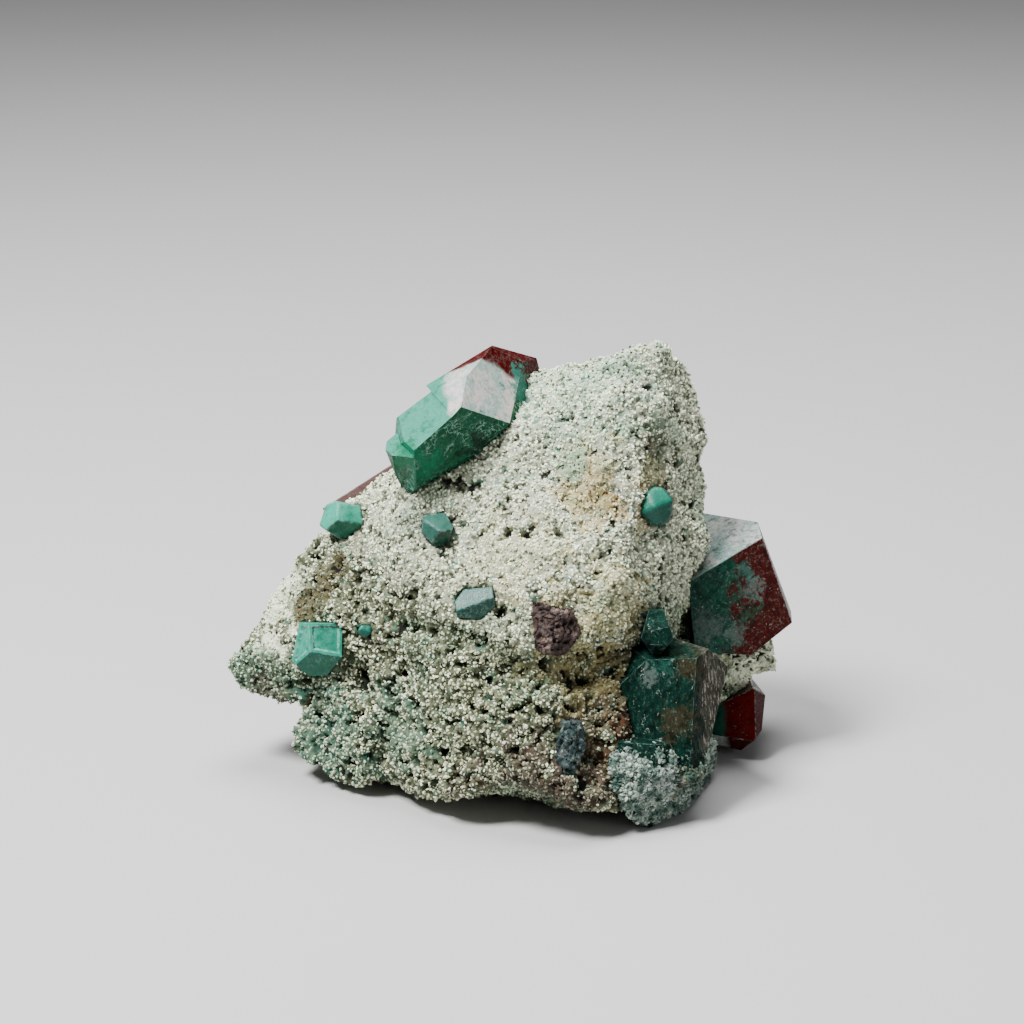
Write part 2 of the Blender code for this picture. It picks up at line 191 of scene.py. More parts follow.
class Graph:
    """A node tree that is written as expressions."""

    def __init__(self, tree: NodeTree) -> None:
        """Wraps a node tree."""
        self.tree = tree

    def node(self, kind: str, settings: dict | None = None, inputs: dict | None = None) -> Node:
        """Adds a node.

        Args:
            kind: the node's type name.
            settings: properties to set on it.
            inputs: socket name or number to a number, a colour, a socket or a wrapped socket.

        Returns:
            The node.
        """
        made = self.tree.nodes.new(kind)
        for name, setting in (settings or {}).items():
            setattr(made, name, setting)
        for key, given in (inputs or {}).items():
            if isinstance(given, Value):
                self.tree.links.new(given.socket, made.inputs[key])
            elif isinstance(given, NodeSocket):
                self.tree.links.new(given, made.inputs[key])
            else:
                made.inputs[key].default_value = given
        return made

    def value(self, kind: str, settings: dict, inputs: dict, output: int | str = 0) -> Value:
        """Adds a node and wraps one of its outputs."""
        return Value(self, self.node(kind, settings, inputs).outputs[output])

    def place(self) -> Arrow:
        """The place on the object, in millimetres."""
        coordinates = self.node("ShaderNodeTexCoord")
        return Arrow(self, coordinates.outputs["Object"]).scaled(1.0 / MM)

    def attribute(self, zone: Zone) -> Value:
        """A number that the mesh carries."""
        return self.value("ShaderNodeAttribute", {"attribute_name": zone.value}, {}, "Fac")

    def clouds(self, where: Arrow | NodeSocket, scale: float, detail: float, rough: float) -> Node:
        """A noise node with scale lumps to a unit of place."""
        inputs = {"Vector": where, "Scale": scale, "Detail": detail, "Roughness": rough}
        return self.node("ShaderNodeTexNoise", {}, inputs)

    def noise(self, where: Arrow, size: float, detail: float = 3.0, rough: float = 0.5) -> Value:
        """Cloudy noise between about 0.3 and 0.7, with lumps of a size in millimetres."""
        return Value(self, self.clouds(where, 1.0 / size, detail, rough).outputs[0])

    def cells(self, where: Arrow, size: float, feature: str = "F1") -> Value:
        """Distance in a field of cells that are size millimetres across."""
        inputs = {"Vector": where, "Scale": 1.0 / size}
        return self.value("ShaderNodeTexVoronoi", {"feature": feature}, inputs, "Distance")

    def wander(
        self, where: Arrow | NodeSocket, scale: float, detail: float, rough: float, reach: float,
    ) -> Arrow:
        """A cloudy shift of place, up to about half of reach each way."""
        colour = self.clouds(where, scale, detail, rough).outputs["Color"]
        return (Arrow(self, colour) - (0.5, 0.5, 0.5)).scaled(reach)

    def mix(self, under: "Value | Colour", over: "Value | Colour", share: "Value | float") -> Value:
        """Lays one colour over another.

        Args:
            under: the colour below.
            over: the colour on top.
            share: how much of the top one shows.

        Returns:
            The mixed colour.
        """
        rgba = {}
        for key, colour in ((6, under), (7, over)):
            rgba[key] = colour if isinstance(colour, Value) else (*colour, 1.0)
        return self.value("ShaderNodeMix", {"data_type": "RGBA"}, {0: share, **rgba}, 2)

    def bump(self, height: Value, depth: float) -> Value:
        """A surface normal from a height between 0 and 1 that stands depth millimetres."""
        return self.value("ShaderNodeBump", {}, {"Strength": 1.0, "Distance": depth * MM, "Height": height})


def new_material(name: str) -> tuple[Material, Graph, Node]:
    """Makes a node material.

    Args:
        name: the material's name.

    Returns:
        The material, its graph and its Principled node.
    """
    material = bpy.data.materials.new(name)
    material.use_nodes = True
    surface = material.node_tree.nodes["Principled BSDF"]
    return material, Graph(material.node_tree), surface


def link(graph: Graph, surface: Node, inputs: dict) -> None:
    """Feeds wrapped sockets, and sets numbers, on a Principled node.

    Args:
        graph: the material's graph.
        surface: its Principled node.
        inputs: input name to a wrapped socket or a number.
    """
    for name, given in inputs.items():
        if isinstance(given, Value):
            graph.tree.links.new(given.socket, surface.inputs[name])
        else:
            surface.inputs[name].default_value = given


@dataclass(frozen=True)
class StainAndShade:
    """A patch of another colour on the rock or a crystal: mostly stains; a few, under the rock and the crown,
    paint shade.
    """

    middle: Place
    radius: float
    pigment: Pigment
    strength: float

    def over(self, graph: Graph, where: Arrow, colour: Value, cloud: Value) -> Value:
        """The colour with this patch on it.

        Args:
            graph: the material's graph.
            where: place in millimetres.
            colour: the colour under the patch.
            cloud: noise that breaks the patch's rim.

        Returns:
            The stained colour.
        """
        reach = (where - self.middle).length() / self.radius + (cloud - 0.5) * 3.2
        return graph.mix(colour, self.pigment.value, reach.ramp(1.15, 0.6) * self.strength)


ROCK_STAINS_AND_SHADE = (
    StainAndShade((-30.5, 0.0, 11.5), 6.0, Pigment.TEAL, 0.3),
    StainAndShade((-21.5, -7.5, 7.0), 7.5, Pigment.TEAL, 0.36),
    StainAndShade((-12.0, -11.5, 10.0), 6.0, Pigment.TEAL, 0.25),
    StainAndShade((-29.0, -1.5, 8.6), 3.4, Pigment.MAUVE, 0.6),
    StainAndShade((10.6, -6.6, 40.5), 4.2, Pigment.OCHRE, 0.5),
    StainAndShade((12.0, -8.0, 36.5), 3.0, Pigment.OCHRE, 0.35),
    StainAndShade((19.0, -3.0, 43.5), 2.8, Pigment.BROWN, 0.7),
    StainAndShade((18.0, -5.0, 38.0), 4.0, Pigment.OCHRE, 0.4),
    StainAndShade((12.5, -17.5, 14.5), 5.5, Pigment.RUST, 0.75),
    StainAndShade((14.5, -18.0, 21.0), 6.5, Pigment.BROWN, 0.5),
    StainAndShade((13.0, -14.5, 26.0), 7.0, Pigment.STRAW, 0.4),
    StainAndShade((9.5, -17.0, 18.5), 5.5, Pigment.STRAW, 0.35),
    StainAndShade((2.0, -11.0, 31.0), 6.0, Pigment.STRAW, 0.2),
    StainAndShade((14.0, -20.0, 6.0), 5.5, Pigment.RUST, 0.62),
    # these mauve-brown patches at the bottom front are partly the rock's colour and partly painted shade under
    # the rock
    StainAndShade((4.0, -24.0, 6.0), 6.5, Pigment.MAUVE, 0.62),
    StainAndShade((-3.0, -21.0, 5.0), 4.0, Pigment.MAUVE, 0.35),
    StainAndShade((-29.0, 2.2, 21.5), 6.0, Pigment.CREAM, 0.8),
    StainAndShade((-24.4, 0.0, 21.6), 2.7, Pigment.KHAKI, 1.0),
    StainAndShade((-22.4, -1.0, 24.2), 2.9, Pigment.KHAKI, 1.0),
    StainAndShade((-20.0, -1.1, 27.4), 2.3, Pigment.KHAKI, 1.0),
    StainAndShade((9.2, -5.4, 41.0), 2.2, Pigment.TEAL, 0.45),
    StainAndShade((-9.0, -2.0, 37.5), 5.0, Pigment.OLIVE, 0.45),
    StainAndShade((17.0, -15.0, 18.5), 4.0, Pigment.BROWN, 0.75),
    StainAndShade((15.5, -19.0, 10.0), 4.5, Pigment.RUST, 0.9),
    # partly the rock's mauve-brown colour, partly painted shade under the rock
    StainAndShade((8.0, -24.0, 4.5), 6.0, Pigment.MAUVE, 0.6),
    StainAndShade((10.0, 4.0, 46.0), 11.0, Pigment.MINT, 0.22),
    StainAndShade((-8.0, 18.0, 22.0), 9.0, Pigment.MINT, 0.3),
    StainAndShade((10.0, 22.0, 18.0), 8.0, Pigment.OCHRE, 0.35),
    StainAndShade((-20.0, 14.0, 12.0), 7.0, Pigment.TEAL, 0.35),
    StainAndShade((32.5, 7.0, 11.0), 5.5, Pigment.CHALK, 0.75),
)


def pale_lit_upper_share(graph: Graph, where: Arrow) -> Value:
    """1 on the rock's bright upper half and 0 on its porous lower left; the upper half is painted paler partly
    as its own colour and partly as painted light from above.
    """
    return where.along((0.25, 0.0, 1.0)).ramp(19.0, 33.0)


@dataclass(frozen=True)
class SkinFinish:
    """The dark, stained ground between the rock's grains: darker on the porous lower left, partly as painted
    shade, and near black in its pores and pits as painted shade.
    """

    name: str = "rock_skin"
    # the step from the lower to the upper colour is partly the ground's own colour and partly painted shade
    # below and painted light above
    lower: Colour = (0.13, 0.14, 0.085)
    upper: Colour = (0.42, 0.44, 0.34)
    roughness: float = 0.92

    def make(self) -> Material:
        """Builds the material.

        Returns:
            The material.
        """
        material, graph, surface = new_material(self.name)
        where = graph.place()
        cloud = graph.noise(where, 2.6)
        fine = graph.noise(where, 0.5, 4.0, 0.7)
        cover = graph.attribute(Zone.COVER)
        ground = graph.mix(self.lower, self.upper, pale_lit_upper_share(graph, where) * 0.8)
        ground = graph.mix(ground, Pigment.OLIVE.value, (cover + (fine - 0.5) * 2.4).ramp(0.95, 0.6) * 0.85)
        ground = graph.mix(ground, Pigment.TEAL.value, graph.noise(where, 1.3).ramp(0.58, 0.66) * 0.5)
        for stain_and_shade in ROCK_STAINS_AND_SHADE:
            ground = stain_and_shade.over(graph, where, ground, cloud)
        # painted shade: near black where the grains cover little, in pores, pits and creases
        ground = graph.mix(ground, Pigment.PORE_SHADE.value, cover.ramp(0.5, 0.12))
        link(graph, surface, {
            "Base Color": ground, "Roughness": self.roughness, "Specular IOR Level": 0.2,
            "Normal": graph.bump(fine, 0.12),
        })
        return material


@dataclass(frozen=True)
class GrainFinish:
    """The pale sugary grains, tinted by the rock's stains and patches of painted shade, and paler on its upper
    half, partly as painted light.
    """

    name: str = "rock_grain"
    drab: Colour = (0.36, 0.36, 0.24)
    tint: float = 0.8

    def make(self) -> Material:
        """Builds the material.

        Returns:
            The material.
        """
        material, graph, surface = new_material(self.name)
        where = graph.place()
        tone = graph.attribute(Zone.TONE)
        cloud = graph.noise(where, 2.6)
        # the grains are painted paler on the upper half, partly as painted light
        upper = pale_lit_upper_share(graph, where)
        grain = graph.mix(Pigment.SAND.value, Pigment.CHALK.value, (tone + upper * 0.3).ramp(0.15, 0.85))
        drabness = (graph.noise(where, 3.2) + tone * 0.12 - upper * 0.12).ramp(0.54, 0.7)
        grain = graph.mix(grain, self.drab, drabness * 0.65)
        minty = (graph.noise(where, 6.0) + tone * 0.1).ramp(0.57, 0.7)
        grain = graph.mix(grain, Pigment.MINT.value, minty * 0.4)
        clean = grain
        for stain_and_shade in ROCK_STAINS_AND_SHADE:
            grain = stain_and_shade.over(graph, where, grain, cloud)
        grain = graph.mix(clean, grain, (self.tint + (tone - 0.5) * 0.5).clamped())
        grain = graph.mix(grain, Pigment.EMERALD.value, tone.ramp(0.945, 0.955) * 0.75)
        grain = graph.mix(grain, Pigment.OLIVE.value, (tone + upper * 0.02).ramp(0.18, 0.16) * 0.9)
        link(graph, surface, {
            "Base Color": grain, "Roughness": 0.55 + graph.noise(where, 0.3) * 0.4,
            "Specular IOR Level": 0.35,
            "Normal": graph.bump(graph.noise(where, 0.16, 3.0, 0.7), 0.05),
        })
        return material


def merged_copy(node: str) -> BMesh:
    """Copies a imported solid.

    Args:
        node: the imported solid's name.

    Returns:
        The solid as one closed surface, in a bmesh of its own.
    """
    bm = bmesh.new()
    bm.from_mesh(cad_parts[node].data)
    bmesh.ops.remove_doubles(bm, verts=bm.verts, dist=1e-6)
    bmesh.ops.recalc_face_normals(bm, faces=bm.faces)
    return bm


def new_object(name: str, data: bpy.types.ID) -> Object:
    """Puts a new object in the scene.

    Args:
        name: its name.
        data: its mesh, light or camera.

    Returns:
        The object.
    """
    made = bpy.data.objects.new(name, data)
    bpy.context.scene.collection.objects.link(made)
    return made


def new_piece(name: str, mesh: Mesh, slot: str, material: Material) -> Object:
    """Shows a mesh as a piece of the specimen.

    Args:
        name: the piece's name.
        mesh: its mesh, in metres, where it belongs.
        slot: the record's material slot, not used.
        material: its finish.

    Returns:
        The piece, riding on the specimen's body.
    """
    mesh.materials.clear()
    mesh.materials.append(material)
    piece = new_object(name, mesh)
    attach(piece, BODY)
    return piece


def opened(mesh: Mesh) -> BMesh:
    """Opens a mesh for editing.

    Args:
        mesh: the mesh.

    Returns:
        A bmesh of it, with its normals worked out.
    """
    bm = bmesh.new()
    bm.from_mesh(mesh)
    bm.normal_update()
    return bm


def keep(bm: BMesh, mesh: Mesh, smooth: bool = False) -> None:
    """Writes a bmesh to a mesh and frees it.

    Args:
        bm: the bmesh.
        mesh: the mesh.
        smooth: whether all its faces are shaded smooth.
    """
    for face in bm.faces:
        face.smooth = face.smooth or smooth
    bm.to_mesh(mesh)
    bm.free()


def evaluated(obj: Object) -> Mesh:
    """The object's mesh as its modifiers leave it."""
    graph = bpy.context.evaluated_depsgraph_get()
    return bpy.data.meshes.new_from_object(obj.evaluated_get(graph), depsgraph=graph)


def remeshed(bm: BMesh, cell: float) -> Mesh:
    """Remakes a bmesh with even cells, and frees it.

    Args:
        bm: a closed bmesh.
        cell: size of a cell in millimetres.

    Returns:
        The fine mesh.
    """
    mesh = bpy.data.meshes.new("coarse")
    bm.to_mesh(mesh)
    bm.free()
    coarse = new_object("coarse", mesh)
    remesh = coarse.modifiers.new("fine", "REMESH")
    remesh.mode = "VOXEL"
    remesh.voxel_size = cell * MM
    fine = evaluated(coarse)
    bpy.data.objects.remove(coarse)
    return fine


def crystal_tree() -> BVHTree:
    """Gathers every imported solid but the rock.

    Returns:
        Their search tree.
    """
    verts: list[Vector] = []
    faces: list[tuple[int, ...]] = []
    for name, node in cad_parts.items():
        if name != "matrix":
            start = len(verts)
            verts += [vert.co.copy() for vert in node.data.vertices]
            faces += [tuple(start + corner for corner in face.vertices) for face in node.data.polygons]
    return BVHTree.FromPolygons(verts, faces)


def fade(number: float, start: float, end: float) -> float:
    """0 at start and 1 at end, eased between them."""
    share = min(max((number - start) / (end - start), 0.0), 1.0)
    return share * share * (3 - 2 * share)


@dataclass
class RockSkin:
    """The rock's surface, with knobs, pores and a sugary roughness."""

    cell: float = 0.39
    swell: float = 0.04
    knob_size: float = 2.3
    knob_height: float = 0.42
    crumb_size: float = 0.75
    crumb_height: float = 0.38
    crease_size: float = 1.5
    crease_depth: float = 0.26
    pore_sizes: tuple[float, ...] = (2.4, 1.2)
    pore_radius: float = 0.46
    pore_depth: float = 0.62
    flatten: float = 1.35
    socket_gap: float = 0.6
    socket_sink: float = 0.02
    socket_cover: float = 0.8
    pits: tuple[tuple[Place, float, float], ...] = (
        ((-17.4, -6.6, 14.2), 1.5, 1.8), ((-18.3, -5.8, 15.4), 1.0, 1.3), ((-19.5, -5.0, 17.2), 0.8, 1.0),
        ((-13.2, -9.4, 18.6), 0.8, 1.0), ((-10.6, -10.8, 19.8), 0.7, 0.9), ((0.9, -9.2, 34.2), 0.7, 1.0),
        ((3.0, -9.9, 34.1), 0.6, 0.9), ((7.8, -9.6, 32.6), 0.6, 0.8), ((0.1, -14.8, 25.8), 0.8, 0.9),
        ((-8.6, -11.9, 15.6), 0.9, 1.2), ((-4.0, -14.5, 13.4), 1.0, 1.2), ((3.2, -17.5, 15.2), 1.0, 1.2),
    )

    def porous(self, where: Vector) -> float:
        """How riddled with pores the rock is: most at the lower left of the front.

        Args:
            where: place in millimetres.

        Returns:
            The share of pores, up to 1.
        """
        low = fade(where.z + 0.25 * where.x, 30.0, 20.0)
        back = fade(where.y, 6.0, 14.0)
        rim = fade(where.x, -22.5, -26.0) * fade(where.z, 13.0, 17.0)
        return max(0.15, low * (1 - 0.5 * back) * (1 - 0.9 * rim))

    def relief(self, where: Vector) -> tuple[float, float]:
        """How far the skin stands out at a place, and how well grains cover it there.

        Args:
            where: place in millimetres.

        Returns:
            The height in millimetres, and the cover from 0 to 1.
        """
        height = self.swell + self.knob_height * noise.noise(where / self.knob_size)
        crease = abs(noise.noise(where / self.crease_size + Vector((5.0, 1.0, 8.0))))
        height -= self.crease_depth * fade(crease, 0.12, 0.0)
        height += self.crumb_height * noise.noise(where / self.crumb_size + Vector((3.0, 9.0, 4.0)))
        flat = Vector((where.x, where.y, where.z * self.flatten))
        porous = self.porous(where)
        cover = fade(height, -0.42, -0.12)
        for size in self.pore_sizes:
            cell = noise.voronoi(flat / size + noise.noise_vector(where / 1.3) * 0.45)[0][0]
            radius = self.pore_radius * porous ** 0.5
            share = 1 - fade(cell, radius * 0.3, radius)
            height -= self.pore_depth * size * share * porous
            cover = min(cover, 1 - 0.95 * share)
        for middle, size, depth in self.pits:
            inside = 1 - fade((where - Vector(middle)).length, size * 0.5, size * 1.3)
            height -= depth * inside
            cover = min(cover, 1 - inside)
        return height, cover

    def build(self) -> Object:
        """Makes the skin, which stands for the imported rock.

        Returns:
            The skin.
        """
        fine = remeshed(merged_copy("matrix"), self.cell)
        bm = opened(fine)
        cover_layer = bm.verts.layers.float.new(Zone.COVER.value)
        crowd_layer = bm.verts.layers.float.new(Zone.CROWD.value)
        crystals = crystal_tree()
        moves = []
        for vert in bm.verts:
            where = vert.co / MM
            height, cover = self.relief(where)
            crowd = cover
            room = crystals.ray_cast(vert.co, vert.normal, self.socket_gap * MM)[3]
            if room is not None:
                height, cover, crowd = room / MM - self.socket_sink, self.socket_cover, 0.0
            moves.append(vert.normal * height * MM * fade(where.z, 0.05, 0.5))
            vert[cover_layer] = cover
            vert[crowd_layer] = crowd * fade(where.z, *GRAINS_START)
        for vert, move in zip(bm.verts, moves):
            vert.co += move
            vert.co.z = max(vert.co.z, 0.0)
        keep(bm, fine, smooth=True)
        skin = new_piece("rock_skin", fine, "matrix", SkinFinish().make())
        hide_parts("matrix")
        return skin


@dataclass
class Grains:
    """Grains that crowd a surface, thickest where its crowd attribute is high."""

    mesh: Mesh
    finish: Material
    name: str = "grains"
    slot: str = "matrix"
    bands: tuple[float, ...] = (-40.0, -16.0, -5.0, 4.0, 12.0, 20.0, 40.0)
    spacing: float = 0.325
    density: float = 3e7
    radius: float = 0.21
    spread: tuple[float, float] = (0.45, 1.3)
    lift: tuple[float, float] = (-0.16, 0.12)
    crush: float = 0.5
    dents_per_mm: float = 2.6
    seed: int = 7

    def draw(self, graph: Graph, kind: str, seed: int, limits: dict) -> Node:
        """A node that draws a random number or vector for each grain."""
        return graph.node("FunctionNodeRandomValue", {"data_type": kind}, {**limits, "Seed": seed})

    def scatter(self, low: float, high: float, seed: int) -> NodeTree:
        """Node tree that sets grains on the skin between two values of x.

        Args:
            low: lowest x in millimetres.
            high: highest x in millimetres.
            seed: seed of the grains' places.

        Returns:
            The node tree.
        """
        tree = bpy.data.node_groups.new("scatter", "GeometryNodeTree")
        tree.interface.new_socket("Geometry", in_out="INPUT", socket_type="NodeSocketGeometry")
        tree.interface.new_socket("Geometry", in_out="OUTPUT", socket_type="NodeSocketGeometry")
        graph = Graph(tree)
        skin = graph.node("NodeGroupInput").outputs[0]
        here = graph.node("GeometryNodeInputPosition").outputs[0]
        split = graph.node("ShaderNodeSeparateXYZ", {}, {0: here})
        east = Value(graph, split.outputs[0])
        inside = east.math("GREATER_THAN", low * MM) * east.math("LESS_THAN", high * MM)
        named = graph.node(
            "GeometryNodeInputNamedAttribute", {"data_type": "FLOAT"}, {"Name": Zone.CROWD.value},
        )
        places = graph.node("GeometryNodeDistributePointsOnFaces", {"distribute_method": "POISSON"}, {
            "Mesh": skin, "Selection": inside, "Distance Min": self.spacing * MM, "Density Max": self.density,
            "Density Factor": named.outputs[0], "Seed": seed,
        })
        shape = graph.node("GeometryNodeMeshIcoSphere", {}, {"Radius": self.radius * MM, "Subdivisions": 1})
        lift = self.draw(graph, "FLOAT", seed + 4, {2: self.lift[0] * MM, 3: self.lift[1] * MM})
        out = graph.node("ShaderNodeVectorMath", {"operation": "SCALE"}, {
            0: places.outputs["Normal"], "Scale": lift.outputs[1],
        })
        raised = graph.node("GeometryNodeSetPosition", {}, {
            "Geometry": places.outputs["Points"], "Offset": out.outputs[0],
        })
        turn = self.draw(graph, "FLOAT_VECTOR", seed + 1, {0: (0.0,) * 3, 1: (math.tau,) * 3})
        sizes = {0: (self.spread[0],) * 3, 1: (self.spread[1],) * 3}
        size = self.draw(graph, "FLOAT_VECTOR", seed + 2, sizes)
        grains = graph.node("GeometryNodeInstanceOnPoints", {}, {
            "Points": raised.outputs[0], "Instance": shape.outputs[0],
            "Rotation": turn.outputs[0], "Scale": size.outputs[0],
        })
        tone = self.draw(graph, "FLOAT", seed + 3, {})
        stored = graph.node("GeometryNodeStoreNamedAttribute", {"data_type": "FLOAT", "domain": "INSTANCE"}, {
            "Geometry": grains.outputs[0], "Name": Zone.TONE.value, "Value": tone.outputs[1],
        })
        real = graph.node("GeometryNodeRealizeInstances", {}, {0: stored.outputs[0]})
        where = graph.node("GeometryNodeInputPosition").outputs[0]
        shift = graph.wander(where, self.dents_per_mm / MM, 1.0, 0.5, self.crush * MM)
        crushed = graph.node("GeometryNodeSetPosition", {}, {"Geometry": real.outputs[0], "Offset": shift})
        graph.node("NodeGroupOutput", {}, {0: crushed.outputs[0]})
        return tree

    def build(self) -> list[Object]:
        """Makes one piece of grains for each band of x.

        Returns:
            The pieces.
        """
        pieces = []
        for number, (low, high) in enumerate(zip(self.bands, self.bands[1:])):
            carrier = new_object("carrier", self.mesh)
            modifier = carrier.modifiers.new("scatter", "NODES")
            modifier.node_group = self.scatter(low, high, self.seed + 10 * number)
            mesh = evaluated(carrier)
            bpy.data.objects.remove(carrier)
            pieces.append(new_piece(f"{self.name}_{number + 1}", mesh, self.slot, self.finish))
        return pieces


@dataclass(frozen=True)
class Spot:
    """A place on a crystal, the same stretched along its grain, and two noises there."""

    graph: Graph
    place: Arrow
    where: Arrow
    cloud: Value
    fine: Value


@dataclass(frozen=True)
class CrystalFinish:
    """A mottled crystal: deep green, paler where it looks up as painted light, red in zones, and frosted in
    zones that are partly a painted sheen.
    """

    name: str
    # deep and light: the green of faces turned away from the sky and towards it; the change between them is
    # painted light
    deep: Colour = (0.0, 0.042, 0.022)
    light: Colour = (0.035, 0.27, 0.185)
    # frosted colour, laid on faces by how much they look up, partly a painted sheen
    frost_and_sheen: Colour = (0.50, 0.44, 0.42)
    haze: Colour = (0.20, 0.33, 0.29)
    cap: Colour = (0.05, 0.0012, 0.0008)
    lit: tuple[float, float] = (0.6, 0.94)
    frost_from: Place = (0.0, 0.0, 0.0)
    frost_along: Place = (0.0, 0.0, 0.0)
    frost_and_sheen_faces: tuple[float, float] = (0.52, 0.66)
    cap_from: Place = (0.0, 0.0, 0.0)
    cap_along: Place = (0.0, 0.0, 0.0)
    cap_first: bool = False
    wobble: float = 3.0
    softness: float = 0.9
    mottle: float = 0.35
    speckle: float = 0.15
    veins: float = 0.3
    grain_along: Place = (1.0, 1.0, 1.0)
    roughness: float = 0.2
    gloss: float = 0.22
    streak: float = 0.0
    rubbed: float = 0.4
    # crust: strength of the crumbs, their bump and the painted shade in their dips
    crust: float = 0.0
    crumb: Colour = (0.13, 0.24, 0.2)
    relief: float = 0.09
    vein: Colour = (0.22, 0.42, 0.34)
    # near black of the painted shade in the crust's dips
    hollow_shade: Colour = (0.0006, 0.002, 0.0015)
    speck: Colour = (0.4, 0.46, 0.4)
    scuff: Colour = (0.2, 0.32, 0.28)
    pale_streak: Colour = (0.44, 0.41, 0.35)
    dark_streak: Colour = (0.012, 0.012, 0.008)
    patches: tuple[StainAndShade, ...] = ()

    def beyond(self, spot: Spot, start: Place, along: Place) -> Value:
        """How far a place lies beyond a plane, as a share from 0 to 1.

        Args:
            spot: the place.
            start: a point of the plane.
            along: direction across the plane.

        Returns:
            The share.
        """
        unit = tuple(Vector(along).normalized())
        depth = (spot.place - start).along(unit) + (spot.cloud - 0.5) * 2.0 * self.wobble
        return depth.ramp(-self.softness, self.softness)

    def green(self, spot: Spot) -> Value:
        """The crystal's green, by the way its faces look: painted light makes the faces that look up paler.

        Args:
            spot: the place.

        Returns:
            The colour.
        """
        graph = spot.graph
        # painted light: faces that look up to the sky get the light green, the others the deep green
        lit_and_uneven = graph.attribute(Zone.SKY) + (spot.cloud - 0.5) * 0.4 + (spot.fine - 0.5) * 0.1
        body = graph.mix(self.deep, self.light, lit_and_uneven.ramp(*self.lit))
        body = graph.mix(body, self.light, spot.fine.ramp(0.56, 0.72) * self.mottle)
        darker = tuple(part * 0.4 for part in self.deep)
        return graph.mix(body, darker, graph.noise(spot.where, 1.3, 4.0, 0.6).ramp(0.53, 0.66) * self.mottle)

    def zones(self, spot: Spot, body: Value) -> Value:
        """The body with its red zones and its frosted zones, which are partly a painted sheen.

        Args:
            spot: the place.
            body: the green body.

        Returns:
            The colour.
        """
        graph = spot.graph
        layers = []
        if any(self.frost_along):
            # The frosted colour is laid on faces by how much they look up: partly a frosted skin, partly a
            # painted sheen of the light from above.
            share = self.beyond(spot, self.frost_from, self.frost_along)
            frost_and_sheen_share = share * graph.attribute(Zone.SKY).ramp(*self.frost_and_sheen_faces)
            feather = graph.noise(spot.place * (2.2, 2.2, 0.6), 1.1, 5.0, 0.7) + (spot.cloud - 0.5) * 0.9
            layers.append((graph.mix(self.haze, self.frost_and_sheen, feather.ramp(0.4, 0.6)), frost_and_sheen_share * 0.95))
        if any(self.cap_along):
            share = self.beyond(spot, self.cap_from, self.cap_along)
            layers.append((self.cap, share * (0.7 + spot.fine * 0.6).clamped()))
        if self.cap_first:
            layers.reverse()
        for colour, share in layers:
            body = graph.mix(body, colour, share)
        return body

    def make(self) -> Material:
        """Builds the material.

        Returns:
            The material.
        """
        material, graph, surface = new_material(self.name)
        place = graph.place()
        where = place * self.grain_along
        cloud = graph.noise(where, 2.8, 4.0, 0.6)
        fine = graph.noise(where, 0.6, 5.0, 0.68)
        spot = Spot(graph, place, where, cloud, fine)
        bent = where + graph.wander(where, 0.55, 4.0, 0.65, 3.4)
        net = graph.cells(bent, 1.25, "DISTANCE_TO_EDGE").ramp(0.07, 0.0) * cloud.ramp(0.44, 0.56)
        net = net * graph.attribute(Zone.SKY).ramp(0.72, 0.62)
        body = self.zones(spot, graph.mix(self.green(spot), self.vein, net * self.veins))
        for patch in self.patches:
            body = patch.over(graph, place, body, cloud + (fine - 0.5) * 1.3)
        frosting = graph.noise(where, 0.34, 6.0, 0.8)
        if self.crust:
            # painted shade: near black in the low spots of a noise, with pale crumbs on the rest
            shaded_hollows = graph.noise(where, 1.0, 5.0, 0.75)
            body = graph.mix(body, self.hollow_shade, shaded_hollows.ramp(0.48, 0.4) * self.crust)
            crumbs = frosting.ramp(0.5, 0.66) * shaded_hollows.ramp(0.42, 0.58)
            body = graph.mix(body, self.crumb, crumbs * self.crust)
        dots = (graph.cells(bent, 0.7) + (frosting - 0.5) * 0.6).ramp(0.2, 0.06) * cloud.ramp(0.44, 0.54)
        body = graph.mix(body, self.speck, dots * self.speckle)
        if self.streak:
            lines = graph.noise(place * (3.2, 3.2, 0.7), 1.0, 6.0, 0.75)
            side = self.beyond(spot, self.frost_from, self.frost_along)
            side = side * graph.attribute(Zone.SKY).ramp(0.75, 0.6)
            body = graph.mix(body, self.pale_streak, lines.ramp(0.52, 0.64) * side * self.streak)
            body = graph.mix(body, self.dark_streak, lines.ramp(0.46, 0.38) * side * self.streak)
        scuffs = graph.attribute(Zone.EDGE) * fine.ramp(0.44, 0.64)
        body = graph.mix(body, self.scuff, scuffs * self.rubbed)
        rough = self.roughness + fine.ramp(0.4, 0.7) * 0.3 + net * 0.2
        link(graph, surface, {
            "Base Color": body, "Roughness": rough.clamped(), "Coat Weight": self.gloss * 0.2,
            "Coat Roughness": 0.08, "Specular IOR Level": self.gloss,
            "Normal": graph.bump(fine + frosting * self.crust + net * 0.4, self.relief),
        })
        return material


